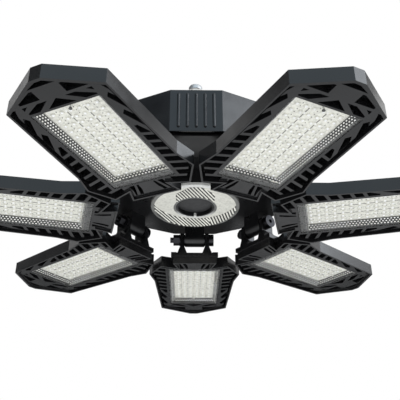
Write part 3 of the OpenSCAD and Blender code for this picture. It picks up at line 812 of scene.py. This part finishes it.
class ApplyFinishes(bpy.types.Operator):
    """Gives every part of the frame its finish"""

    bl_idname = "garage_light.finishes"
    bl_label = "Apply finishes"

    def execute(self, context):
        colours = context.scene.garage_colours
        finishes = {
            "panel_paint": satin_enamel("panel_enamel", colours.panel, 0.22),
            "housing_paint": satin_enamel("housing_enamel", colours.housing, 0.22),
            "casting_paint": satin_enamel("hub_enamel", colours.casting, 0.3),
            "lens_plastic": optic_white("panel_lens_plastic", colours.optic),
            "ring_plastic": optic_white("ring_lens_plastic", colours.optic),
            "led_white": optic_white("led_board_white", colours.optic),
            "black_plastic": moulded_plastic("black_plastic", (0.022, 0.022, 0.023), 0.5),
            "nickel": plated_metal("nickel_plate", NICKEL, 0.25),
            "bright_steel": plated_metal("zinc_plate", (0.55, 0.55, 0.56), 0.35),
            "dark_steel": plated_metal("black_oxide", (0.03, 0.03, 0.033), 0.35),
            "circuit_board": circuit_green("solder_mask"),
            "transformer_core": moulded_plastic("transformer_tape", (0.6, 0.42, 0.05), 0.4),
            "capacitor_sleeve": moulded_plastic("capacitor_sleeve", (0.02, 0.02, 0.06), 0.3),
        }
        for node, part in frame["nodes"].items():
            part.data.materials.clear()
            part.data.materials.append(finishes[SLOTS[node]])
        return {"FINISHED"}


class BuildPanelLenses(bpy.types.Operator):
    """Makes the clear cover and the grey skirt of every panel lens"""

    bl_idname = "garage_light.panel_lenses"
    bl_label = "Build panel lenses"

    WALL, BAR = 2, 3

    def execute(self, context):
        lens = context.scene.garage_lens
        colours = context.scene.garage_colours
        front = LENS_LOW.z + lens.cover_thickness
        rounding, board_gap = 0.3 * MM, 0.1 * MM

        def cover(shape):
            add_block(shape, LENS_LOW, (LENS_HIGH.x, LENS_HIGH.y, front), rounding)

        def skirt(shape):
            self.add_skirt(shape, lens, front, BOARD_LOW.z - board_gap)
            self.add_corner_bars(shape, lens, front)

        show_on_panels(
            "lens_cover", mesh_from("lens_cover", cover), [clear_cover("clear_cover")],
            "panel_lens")
        show_on_panels("lens_skirt", mesh_from("lens_skirt", skirt), [
            frosted_edge("lens_flange", colours.flange),
            # Lighter than the flange: a painted highlight along the flange's inner edge
            frosted_edge("lens_edge_line", (0.2, 0.2, 0.19)),
            moulded_plastic("lens_wall", BLACK, 0.5, 0.08),
            moulded_plastic("lens_bar", colours.optic, 0.3)])
        return {"FINISHED"}

    def add_skirt(self, shape, lens, front, top):
        """A flange with a light line along its inner edge, a painted highlight, and dark walls
        that lean inwards.
        """
        low, high = LENS_LOW, LENS_HIGH
        margin, line, bottom = 0.1 * MM, 0.35 * MM, front + 0.05 * MM
        outside = (margin, margin, margin)

        def inset(side, end, tip):
            return [max(margin, width + more) for width, more in (
                (lens.flange_width, side), (lens.flange_end, end), (lens.flange_tip, tip))]

        loops = []
        for (side, end, tip), z in (
                (outside, bottom), (inset(-line, -line, -line), bottom),
                (inset(0.0, 0.0, 0.0), bottom),
                (inset(lens.wall_draft, lens.end_draft, lens.end_draft), top), (outside, top)):
            loops.append([shape.verts.new((x, y, z)) for x, y in (
                (low.x + side, low.y + end), (high.x - side, low.y + end),
                (high.x - side, high.y - tip), (low.x + side, high.y - tip))])
        for k, (here, there) in enumerate(zip(loops, loops[1:] + loops[:1])):
            for face in add_band(shape, here, there):
                face.material_index = min(k, self.WALL)

    def add_corner_bars(self, shape, lens, front):
        """A dark lip along the hub wall, with a light bar at each of its ends."""
        outer = LENS_HIGH.x - lens.flange_width - 1.2 * MM
        start = LENS_LOW.y + lens.flange_end + 0.2 * MM
        rounding, bar_length, bar_height, bar_depth = 0.15 * MM, 7.5 * MM, 0.8 * MM, 1.2 * MM
        add_block(
            shape, (-outer, start - 0.4 * MM, front + 0.1 * MM),
            (outer, start + bar_depth - 0.3 * MM, front + 1.5 * MM), rounding)
        bottom = front + 1.0 * MM
        for side in (-1, 1):
            left, right = sorted((side * outer, side * (outer - bar_length)))
            add_block(
                shape, (left, start, bottom), (right, start + bar_depth, bottom + bar_height),
                rounding, self.BAR)


class BuildOptics(bpy.types.Operator):
    """Makes the domes over the LEDs, the slits between them and the prisms on the lens walls"""

    bl_idname = "garage_light.optics"
    bl_label = "Build optics"

    def execute(self, context):
        lens = context.scene.garage_lens
        colours = context.scene.garage_colours
        self.make_led_field(lens)
        self.make_prisms(lens, colours)
        self.make_pins(lens)
        return {"FINISHED"}

    def make_led_field(self, lens):
        """A dome over each LED, and small domes and dark slits between them."""
        middle = (BOARD_LOW + BOARD_HIGH) / 2
        plan = BOARD_HIGH - BOARD_LOW
        pitch = lens.led_pitch
        across, along = (int((side - lens.led_size) / pitch) for side in (plan.x, plan.y))
        chip_height = 0.7 * MM
        chips = (middle.x, middle.y, BOARD_LOW.z)
        plate = (middle.x, middle.y, BOARD_LOW.z + chip_height)
        # The domes are near white, whiter than the board: painted glints on the domes over the
        # LEDs and on the small domes between the slits
        domes = domes_tree(moulded_plastic("led_dome", (0.97, 0.97, 0.95), 0.15))
        slits = slits_tree(moulded_plastic("optic_slit", BLACK, 0.5, 0.1))
        for name, tree, counts, pitches, rest in (
                ("led_domes", domes, (across, along), (pitch, pitch),
                 {"Radius": lens.dome_radius, "Flatness": 0.7, "Place": chips}),
                ("spot_domes", domes, (across // 3, along), (2 * pitch, pitch),
                 {"Radius": lens.spot_radius, "Flatness": 0.8, "Place": plate}),
                ("long_slits", slits, (across // 3, along - 1), (2 * pitch, pitch),
                 {"Size": tuple(lens.slit_size), "Place": plate}),
                ("short_slits", slits, (across // 2, 2 * along), (2 * pitch, pitch / 2),
                 {"Size": tuple(lens.dot_size), "Place": plate})):
            values = {**dict(zip(COUNTS, counts)), **dict(zip(PITCHES, pitches)), **rest}
            show_on_panels(name, grow(tree, name, values), [])

    def make_prisms(self, lens, colours):
        """Rows of prisms on the four leaning walls of every lens."""
        front = LENS_LOW.z + lens.cover_thickness
        rise = BOARD_LOW.z - front
        half_width = LENS_HIGH.x - lens.flange_width - lens.wall_draft / 2
        hub_end = LENS_LOW.y + lens.flange_end + lens.end_draft / 2
        tip_end = LENS_HIGH.y - lens.flange_tip - lens.end_draft / 2
        half_length = (tip_end - hub_end) / 2
        # The prisms are a lighter copy of the optic white: painted light that makes up for the
        # shade inside the lens
        prism = moulded_plastic("wall_prism", shade(colours.optic, 1.35), 0.25)
        mesh = grow(prism_box_tree(prism_wall_tree(), prism), "wall_prisms", {
            "Count across": int(2 * half_width / lens.prism_pitch),
            "Count along": int(2 * half_length / lens.prism_pitch),
            "Rows": lens.prism_rows, "Pitch": lens.prism_pitch,
            "Row pitch": lens.prism_row_pitch,
            "Row lean": lens.wall_draft * lens.prism_row_pitch / rise,
            "Tilt": math.atan2(lens.wall_draft, rise), "Size": tuple(lens.prism_size),
            "Half width": half_width, "Half length": half_length,
            "Place": (0.0, (hub_end + tip_end) / 2, front + rise / 2)})
        show_on_panels("wall_prisms", mesh, [])

    def make_pins(self, lens):
        """A pin with a dark head and a white neck, which holds the tip end of each board."""
        head, neck, chamfer, from_tip = 1.3 * MM, 0.8 * MM, 0.3 * MM, 2.6 * MM
        bottom, top = LENS_LOW.z + lens.cover_thickness + 1.0 * MM, BOARD_LOW.z + 0.3 * MM
        outline = [
            (0.0, bottom), (head - chamfer, bottom), (head, bottom + chamfer),
            (head, bottom + 1.0 * MM), (neck, bottom + 1.3 * MM), (neck, top), (0.0, top)]
        black_then_white = (0, 0, 0, 0, 1, 1, 1)

        def pin(shape):
            add_revolved(shape, outline, 20, black_then_white)
            bmesh.ops.translate(shape, verts=shape.verts, vec=(0.0, BOARD_HIGH.y - from_tip, 0.0))

        show_on_panels("optic_pin", mesh_from("optic_pin", pin), [
            moulded_plastic("pin_black", (0.01, 0.01, 0.01), 0.3),
            moulded_plastic("pin_white", (0.75, 0.75, 0.7), 0.3)])


class BuildRingLens(bpy.types.Operator):
    """Makes the ring lens with its two fields of prism ribs, its sloping edge and its clip"""

    bl_idname = "garage_light.ring_lens"
    bl_label = "Build ring lens"

    FACE, EDGE, LAND = range(3)

    def execute(self, context):
        ring = context.scene.garage_ring
        colours = context.scene.garage_colours
        cap_gap = 1.9 * MM
        self.low, self.high = RING_LOW.z, RING_HIGH.z
        self.outer = RING_HIGH.x
        self.inner = CAP_HIGH.x + cap_gap
        white = shade(colours.optic, 0.92)
        mesh = mesh_from("ring_lens_shape", lambda shape: self.add_body(shape, ring))
        smooth_by_angle(mesh, 20.0)
        # Painted light and shade: the edge is white at the near side, grey, then black at the far
        # side, and the land is dark at the near side and light at the far side
        edge_lit_to_shaded_tones = ((0.75, 0.75, 0.72), (0.17, 0.17, 0.16), (0.02, 0.02, 0.02))
        land_shaded_to_lit_tones = ((0.14, 0.14, 0.135), (0.72, 0.72, 0.69))
        show("ring_lens_shape", mesh, HUB, [
            ring_optic("ring_face", white),
            frosted_with_painted_light("ring_edge", edge_lit_to_shaded_tones, (-38 * MM, -28 * MM), (31 * MM, 37 * MM)),
            frosted_with_painted_light("ring_land", land_shaded_to_lit_tones, (6 * MM, 16 * MM))],
            ["ring_lens"])
        ribs = mesh_from("ring_ribs", lambda shape: self.add_ribs(shape, ring))
        rib_white = moulded_plastic("ring_rib", shade(white, 1.25), 0.25)
        show("ring_ribs", ribs, HUB, [rib_white])
        return {"FINISHED"}

    def add_body(self, shape, ring):
        """The lens in section, revolved, with the clip at the far side of the hole."""
        inner, outer, low, high = self.inner, self.outer, self.low, self.high
        wall, thickness = 1.6 * MM, 1.8 * MM
        edge_rise, round_off = 0.5 * MM, 0.4 * MM
        outline = [
            (inner, low + 0.3 * MM), (inner + round_off, low), (inner + ring.land_width, low),
            (outer - ring.edge_width, low), (outer - round_off, low + edge_rise),
            (outer, low + edge_rise + round_off), (outer, high), (outer - wall, high),
            (outer - wall, low + thickness), (inner, low + thickness)]
        materials = (self.LAND, self.LAND, self.FACE, *(self.EDGE,) * 6, self.LAND)
        add_revolved(shape, outline, 144, materials)
        clip_half, clip_height = 1.2 * MM, 3.4 * MM
        add_block(
            shape, (-clip_half, CAP_HIGH.x - 0.2 * MM, low + 0.1 * MM),
            (clip_half, inner + 0.3 * MM, low + clip_height), 0.2 * MM, self.LAND)

    def ribbed(self, ring, x, y):
        """Tells whether a point of the face is in one of the fields of ribs."""
        radius = math.hypot(x, y)
        if radius < self.inner + ring.land_width or radius > self.outer - ring.edge_width:
            return False
        near_half = min(NEAR_FIELD_HALF, y + NEAR_FIELD_NARROWS)
        near_field = y < NEAR_FIELD_START and abs(x) < near_half
        beyond = math.hypot(x, y - FAR_FIELD_CENTRE) > FAR_FIELD_RADIUS
        return near_field or (y > FAR_FIELD_START and beyond)

    def add_ribs(self, shape, ring):
        """Slanting ribs over both fields, steeper at the right of the far one."""
        reach, step, fewest_steps = 2 * self.outer, 0.4 * MM, 4
        lines, steps = int(reach / ring.rib_pitch), int(reach / step)
        for degrees, steep in ((RIB_DIRECTION, False), (STEEP_RIB_DIRECTION, True)):
            turn = math.radians(degrees)
            along, across = (math.cos(turn), math.sin(turn)), (-math.sin(turn), math.cos(turn))
            for line in range(-lines, lines + 1):
                offset = line * ring.rib_pitch
                run = []
                for n in range(-steps, steps + 1):
                    x, y = (across[axis] * offset + along[axis] * n * step for axis in (0, 1))
                    here_steep = x > STEEP_RIBS_FROM and y >= 0
                    if here_steep == steep and self.ribbed(ring, x, y):
                        run.append((x, y))
                        continue
                    if len(run) >= fewest_steps:
                        self.add_rib(shape, ring, run[0], run[-1], across)
                    run = []

    def add_rib(self, shape, ring, start, end, across):
        """One rib: a low roof with a flat ridge, sunk a little into the face."""
        half, ridge, sunk = ring.rib_width / 2, 0.35, 0.2 * MM
        low, base, tip = self.low, self.low + sunk, self.low - ring.rib_height
        section = ((-1, base), (-1, low), (-ridge, tip), (ridge, tip), (1, low), (1, base))
        here, there = (
            [shape.verts.new((x + across[0] * side * half, y + across[1] * side * half, z))
             for side, z in section]
            for x, y in (start, end))
        add_band(shape, here, there)
        shape.faces.new(reversed(here))
        shape.faces.new(there)


class BuildScrewBase(bpy.types.Operator):
    """Makes the rolled thread, the glass and the contact of the screw base"""

    bl_idname = "garage_light.screw_base"
    bl_label = "Build screw base"

    def execute(self, context):
        base = context.scene.garage_base

        def glass(shape):
            add_revolved(shape, self.glass_outline(), 64)

        def button(shape):
            add_revolved(shape, self.contact_outline(), 64)

        for name, build, node, slot, material in (
                ("screw_thread", lambda shape: self.add_thread(shape, base), "screw_shell",
                 "nickel", plated_metal("shell_nickel", NICKEL, 0.25)),
                ("insulator_glass", glass, "insulator", "black_plastic",
                 moulded_plastic("black_glass", (0.01, 0.01, 0.012), 0.12)),
                ("contact_button", button, "contact", "nickel",
                 plated_metal("contact_tin", (0.56, 0.57, 0.58), 0.45))):
            mesh = mesh_from(name, build)
            smooth_by_angle(mesh, 40.0)
            show(name, mesh, HUB, [material], [node])
        return {"FINISHED"}

    def glass_outline(self):
        """Black glass between the shell and the contact."""
        low, chamfer = SHELL_HIGH.z - 1.0 * MM, 0.6 * MM
        rim, neck = SHOULDER_RADIUS - 0.1 * MM, CONTACT_HIGH.x - 0.5 * MM
        return [
            (0.0, low), (rim, low), (rim, low + 1.0 * MM), (neck + chamfer, GLASS_TOP - chamfer),
            (neck, GLASS_TOP), (0.0, GLASS_TOP)]

    def contact_outline(self):
        """A tall button, with a low crown of (share of the radius, millimetres below the top)."""
        radius, top = CONTACT_HIGH.x, CONTACT_HIGH.z - 0.7 * MM
        crown = (
            (1.0, 7.0), (1.0, 2.6), (0.96, 1.9), (0.86, 1.3), (0.66, 0.75), (0.4, 0.3),
            (0.15, 0.05))
        return [
            (0.0, GLASS_TOP), (radius - 0.3 * MM, GLASS_TOP),
            *((radius * share, top - drop * MM) for share, drop in crown), (0.0, top)]

    def add_thread(self, shape, base):
        """Rounded thread that runs out below a shoulder."""
        major, bottom, top = SHELL_HIGH.x, SHELL_LOW.z, SHELL_HIGH.z
        steps, rows, shoulder_rows = 96, 56, 8
        run_out, shoulder_height = 2.0 * MM, 4.5 * MM
        thread_top = top - shoulder_height

        def radius(turn, z):
            wave = 0.5 - 0.5 * math.cos(2 * math.pi * (z - bottom) / base.thread_pitch - turn)
            ease = min(1.0, (z - bottom) / run_out, (thread_top - z) / run_out)
            return major - base.thread_depth * (1.0 - wave * max(0.0, ease))

        turns = [2 * math.pi * k / steps for k in range(steps)]
        loops = []
        for row in range(rows + 1):
            z = bottom + (thread_top - bottom) * row / rows
            loops.append([add_point(shape, radius(turn, z), turn, z) for turn in turns])
        widest = major - base.thread_depth
        for row in range(1, shoulder_rows + 1):
            lift = math.radians(90.0 * row / shoulder_rows)
            z = thread_top + (top - thread_top) * math.sin(lift)
            reach = SHOULDER_RADIUS + (widest - SHOULDER_RADIUS) * math.cos(lift)
            loops.append([add_point(shape, reach, turn, z) for turn in turns])
        for here, there in zip(loops, loops[1:]):
            add_band(shape, here, there)
        shape.faces.new(loops[-1])
        shape.faces.new(reversed(loops[0]))


class GarageLightPanel(bpy.types.Panel):
    """Lists the steps and the sizes in the sidebar"""

    bl_idname = "GARAGE_PT_light"
    bl_label = "Garage light"
    bl_space_type = "VIEW_3D"
    bl_region_type = "UI"
    bl_category = "Garage light"

    def draw(self, context):
        for step in STEPS:
            self.layout.operator(step.bl_idname)
        for name, group in GROUPS:
            box = self.layout.box()
            for key in group.__annotations__:
                box.prop(getattr(context.scene, name), key)


STEPS = (BuildStudio, ApplyFinishes, BuildPanelLenses, BuildOptics, BuildRingLens, BuildScrewBase)


def register():
    """Registers the settings, the steps and the sidebar panel."""
    for name, group in GROUPS:
        bpy.utils.register_class(group)
        setattr(bpy.types.Scene, name, PointerProperty(type=group))
    for cls in (*STEPS, GarageLightPanel):
        bpy.utils.register_class(cls)


def unregister():
    """Undoes register."""
    for cls in reversed((*STEPS, GarageLightPanel)):
        bpy.utils.unregister_class(cls)
    for name, group in GROUPS:
        delattr(bpy.types.Scene, name)
        bpy.utils.unregister_class(group)


def main():
    """Runs every step."""
    register()
    for step in STEPS:
        area, name = step.bl_idname.split(".")
        getattr(getattr(bpy.ops, area), name)()


if __name__ == "__main__":
    main()
